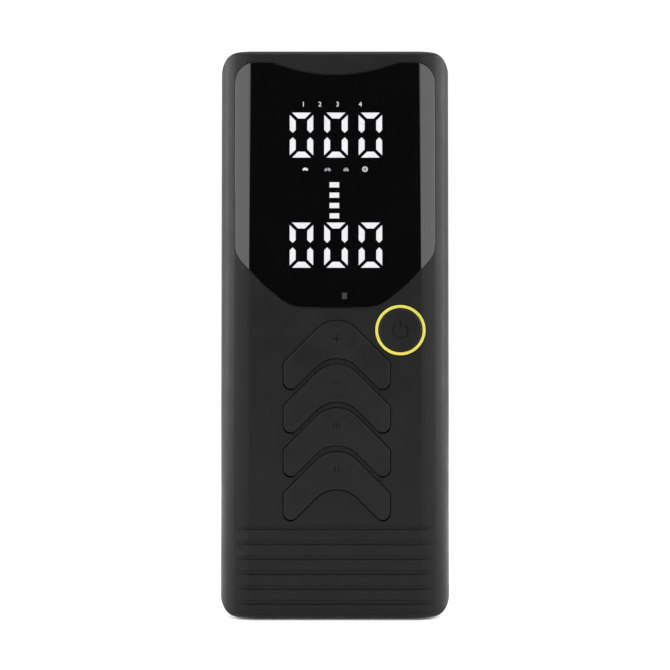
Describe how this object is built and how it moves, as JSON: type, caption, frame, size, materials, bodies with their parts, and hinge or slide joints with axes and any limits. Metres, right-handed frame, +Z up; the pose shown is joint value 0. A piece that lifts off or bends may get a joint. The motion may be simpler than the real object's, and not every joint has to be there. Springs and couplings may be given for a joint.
{
  "type": "jump starter pack",
  "caption": "Handheld car jump starter and tyre pump with a display window, roof-shaped keys, side doors over its sockets, an air outlet and a torch",
  "frame": {"origin": "middle of the base that the pack stands on", "axes": "+Z up along the length, front face towards -Y, +X to the right seen from the front"},
  "size_m": [0.0814, 0.048, 0.2],
  "materials": {
    "case_black": "black moulded ABS with a fine satin texture",
    "cap_black": "black moulded ABS",
    "foot_rubber": "black soft rubber",
    "window_gloss": "smoked black polished window",
    "lit_white": "white light windows, lit",
    "panel_black": "black display panel",
    "tray_white": "white lamp tray",
    "ring_yellow": "yellow satin ring",
    "key_black": "black key plastic",
    "board_green": "green solder mask",
    "board_white": "white solder mask",
    "switch_black": "black switch",
    "chip_black": "black chip package",
    "screw_steel": "zinc plated steel",
    "screw_dark": "black oxide steel",
    "cell_sleeve": "shrink sleeve",
    "holder_plastic": "black cell holder",
    "nickel_strip": "nickel strip",
    "relay_black": "black relay case",
    "sink_aluminium": "extruded aluminium",
    "coil_copper": "enamelled copper",
    "capacitor_sleeve": "capacitor sleeve",
    "socket_blue": "blue nylon socket",
    "terminal_brass": "gold plated brass",
    "socket_steel": "plated steel shell",
    "door_rubber": "black flap",
    "pin_steel": "steel pin",
    "motor_steel": "zinc plated can",
    "motor_plastic": "black end cap",
    "magnet_grey": "ferrite magnet",
    "rotor_steel": "laminated steel",
    "pinion_brass": "brass pinion",
    "gear_nylon": "white nylon gear",
    "crank_steel": "steel crank",
    "bearing_steel": "steel bearing",
    "frame_cast": "die-cast alloy",
    "head_cast": "die-cast alloy",
    "piston_aluminium": "turned alloy",
    "seal_rubber": "black seal",
    "rod_aluminium": "alloy rod",
    "spring_steel": "spring wire",
    "outlet_brass": "turned brass",
    "reflector_chrome": "metallised reflector",
    "torch_clear": "clear polycarbonate lens"
  },
  "bodies": {
    "case": {"air_outlet": "outlet_brass", "base_cap": "foot_rubber", "battery_cells": "cell_sleeve", "board_screws": "screw_steel", "bus_strips": "nickel_strip", "capacitors": "capacitor_sleeve", "case_screws": "screw_dark", "cell_holder_lower": "holder_plastic", "cell_holder_upper": "holder_plastic", "charge_bars": "lit_white", "choke_coil": "coil_copper", "control_board": "board_green", "crank_bearing": "bearing_steel", "cylinder_head": "head_cast", "display_digits": "lit_white", "display_lens": "window_gloss", "display_panel": "panel_black", "front_shell": "case_black", "heat_sink": "sink_aluminium", "jump_door_pin": "pin_steel", "jump_socket": "socket_blue", "jump_terminals": "terminal_brass", "lamp_tray": "tray_white", "main_board": "board_green", "motor_can": "motor_steel", "motor_end_cap": "motor_plastic", "motor_magnets": "magnet_grey", "power_ring": "ring_yellow", "pressure_sensor": "chip_black", "processor": "chip_black", "pump_frame": "frame_cast", "pump_screws": "screw_steel", "push_switches": "switch_black", "rear_cover": "case_black", "start_relay": "relay_black", "top_cap": "cap_black", "torch_board": "board_white", "torch_lens": "torch_clear", "torch_reflector": "reflector_chrome", "usb_board": "board_green", "usb_door_pin": "pin_steel", "usb_slim_socket": "socket_steel", "usb_wide_socket": "socket_steel", "valve_spring": "spring_steel"},
    "key_up": {"key_up": "key_black"},
    "key_down": {"key_down": "key_black"},
    "key_mode": {"key_mode": "key_black"},
    "key_light": {"key_light": "key_black"},
    "power_button": {"power_button": "key_black"},
    "usb_door": {"usb_door": "door_rubber"},
    "jump_door": {"jump_door": "door_rubber"},
    "crank": {"crank": "crank_steel", "drive_gear": "gear_nylon"},
    "rotor": {"motor_rotor": "rotor_steel", "motor_pinion": "pinion_brass"},
    "piston": {"piston": "piston_aluminium", "piston_seal": "seal_rubber", "wrist_pin": "pin_steel"},
    "rod": {"connecting_rod": "rod_aluminium"},
    "valve": {"outlet_valve": "seal_rubber"}
  },
  "joints": [
    {"name": "key_up_press", "type": "slide", "parent": "case", "child": "key_up", "axis": [0, 1, 0], "range_m": [0, 0.0008], "stiffness_N_per_m": 1500, "springref_m": -0.0003},
    {"name": "key_down_press", "type": "slide", "parent": "case", "child": "key_down", "axis": [0, 1, 0], "range_m": [0, 0.0008], "stiffness_N_per_m": 1500, "springref_m": -0.0003},
    {"name": "key_mode_press", "type": "slide", "parent": "case", "child": "key_mode", "axis": [0, 1, 0], "range_m": [0, 0.0008], "stiffness_N_per_m": 1500, "springref_m": -0.0003},
    {"name": "key_light_press", "type": "slide", "parent": "case", "child": "key_light", "axis": [0, 1, 0], "range_m": [0, 0.0008], "stiffness_N_per_m": 1500, "springref_m": -0.0003},
    {"name": "power_press", "type": "slide", "parent": "case", "child": "power_button", "axis": [0, 1, 0], "range_m": [0, 0.0008], "stiffness_N_per_m": 1500, "springref_m": -0.0003},
    {"name": "usb_door_hinge", "type": "hinge", "parent": "case", "child": "usb_door", "pos_m": [0.0396, 0.01, 0.097], "axis": [0, 0, 1], "range_deg": [0, 95]},
    {"name": "jump_door_hinge", "type": "hinge", "parent": "case", "child": "jump_door", "pos_m": [-0.0396, 0.01, 0.097], "axis": [0, 0, -1], "range_deg": [0, 95]},
    {"name": "crank_spin", "type": "hinge", "parent": "case", "child": "crank", "pos_m": [0.01, -0.004, 0.128], "axis": [0, 1, 0], "continuous": true},
    {"name": "motor_spin", "type": "hinge", "parent": "case", "child": "rotor", "pos_m": [-0.014, 0.004, 0.128], "axis": [0, 1, 0], "continuous": true},
    {"name": "piston_stroke", "type": "slide", "parent": "case", "child": "piston", "axis": [0, 0, 1], "range_m": [0, 0.012]},
    {"name": "rod_swing", "type": "hinge", "parent": "piston", "child": "rod", "pos_m": [0.01, 0.006, 0.151], "axis": [0, 1, 0], "range_deg": [-11.9, 11.9]},
    {"name": "valve_lift", "type": "slide", "parent": "case", "child": "valve", "axis": [0, 0, 1], "range_m": [0, 0.001], "stiffness_N_per_m": 150, "springref_m": -0.0005, "deforming": ["valve_spring"]}
  ],
  "couplings": [
    {"joint": "motor_spin", "follows": "crank_spin", "ratio": -5}
  ]
}
